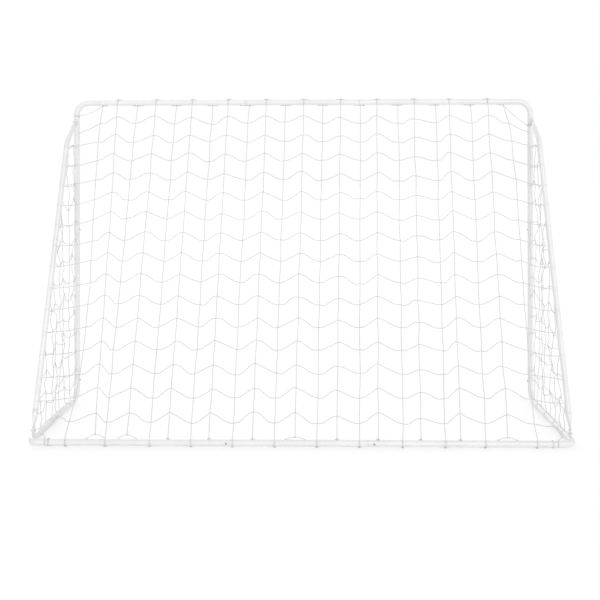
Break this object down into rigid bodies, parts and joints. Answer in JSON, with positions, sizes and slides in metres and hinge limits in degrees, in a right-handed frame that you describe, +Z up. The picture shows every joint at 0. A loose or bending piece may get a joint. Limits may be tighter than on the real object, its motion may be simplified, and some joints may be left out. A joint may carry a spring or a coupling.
{
  "type": "soccer goal frame",
  "caption": "Free-standing soccer goal of white slip-jointed steel tube with rounded corners, sloping rear stays, a rear ground bar and a knotted white net.",
  "frame": {"origin": "on the ground, under the centre of the goal's box", "axes": "+X to the right along the crossbar as seen from in front of the mouth, +Y from the mouth back to the rear bar, +Z up"},
  "size_m": [1.83, 0.6226, 1.2],
  "materials": {
    "white_paint": "gloss white powder coat",
    "net_cord": "white knotted cord",
    "button_steel": "zinc plated, dull",
    "spring_steel": "blued spring strip",
    "zinc_steel": "bright zinc plate"
  },
  "bodies": {
    "frame": {"back_net": "net_cord", "crossbar_centre_tube": "white_paint", "left_base_tube": "white_paint", "left_corner_tube": "white_paint", "left_crossbar_spring": "spring_steel", "left_foot_spring": "spring_steel", "left_lower_post": "white_paint", "left_lower_stay": "white_paint", "left_post_spring": "spring_steel", "left_rear_bar_spring": "spring_steel", "left_side_net": "net_cord", "left_upper_stay": "white_paint", "rear_bar_centre_tube": "white_paint", "right_base_tube": "white_paint", "right_corner_tube": "white_paint", "right_crossbar_spring": "spring_steel", "right_foot_spring": "spring_steel", "right_lower_post": "white_paint", "right_lower_stay": "white_paint", "right_post_spring": "spring_steel", "right_rear_bar_spring": "spring_steel", "right_side_net": "net_cord", "right_upper_stay": "white_paint", "stay_bolts": "zinc_steel", "stay_nuts": "zinc_steel", "stay_washers": "zinc_steel"},
    "right_crossbar_button": {"right_crossbar_button": "button_steel"},
    "right_post_button": {"right_post_button": "button_steel"},
    "right_foot_button": {"right_foot_button": "button_steel"},
    "right_rear_bar_button": {"right_rear_bar_button": "button_steel"},
    "left_crossbar_button": {"left_crossbar_button": "button_steel"},
    "left_post_button": {"left_post_button": "button_steel"},
    "left_foot_button": {"left_foot_button": "button_steel"},
    "left_rear_bar_button": {"left_rear_bar_button": "button_steel"}
  },
  "joints": [
    {"name": "right_crossbar_button_press", "type": "slide", "parent": "frame", "child": "right_crossbar_button", "axis": [0, 0, 1], "range_m": [0, 0.004], "stiffness_N_per_m": 800, "springref_m": -0.004, "deforming": ["right_crossbar_spring"]},
    {"name": "right_post_button_press", "type": "slide", "parent": "frame", "child": "right_post_button", "axis": [1, 0, 0], "range_m": [0, 0.004], "stiffness_N_per_m": 800, "springref_m": -0.004, "deforming": ["right_post_spring"]},
    {"name": "right_foot_button_press", "type": "slide", "parent": "frame", "child": "right_foot_button", "axis": [1, 0, 0], "range_m": [0, 0.004], "stiffness_N_per_m": 800, "springref_m": -0.004, "deforming": ["right_foot_spring"]},
    {"name": "right_rear_bar_button_press", "type": "slide", "parent": "frame", "child": "right_rear_bar_button", "axis": [0, -1, 0], "range_m": [0, 0.004], "stiffness_N_per_m": 800, "springref_m": -0.004, "deforming": ["right_rear_bar_spring"]},
    {"name": "left_crossbar_button_press", "type": "slide", "parent": "frame", "child": "left_crossbar_button", "axis": [0, 0, 1], "range_m": [0, 0.004], "stiffness_N_per_m": 800, "springref_m": -0.004, "deforming": ["left_crossbar_spring"]},
    {"name": "left_post_button_press", "type": "slide", "parent": "frame", "child": "left_post_button", "axis": [-1, 0, 0], "range_m": [0, 0.004], "stiffness_N_per_m": 800, "springref_m": -0.004, "deforming": ["left_post_spring"]},
    {"name": "left_foot_button_press", "type": "slide", "parent": "frame", "child": "left_foot_button", "axis": [-1, 0, 0], "range_m": [0, 0.004], "stiffness_N_per_m": 800, "springref_m": -0.004, "deforming": ["left_foot_spring"]},
    {"name": "left_rear_bar_button_press", "type": "slide", "parent": "frame", "child": "left_rear_bar_button", "axis": [0, -1, 0], "range_m": [0, 0.004], "stiffness_N_per_m": 800, "springref_m": -0.004, "deforming": ["left_rear_bar_spring"]}
  ]
}
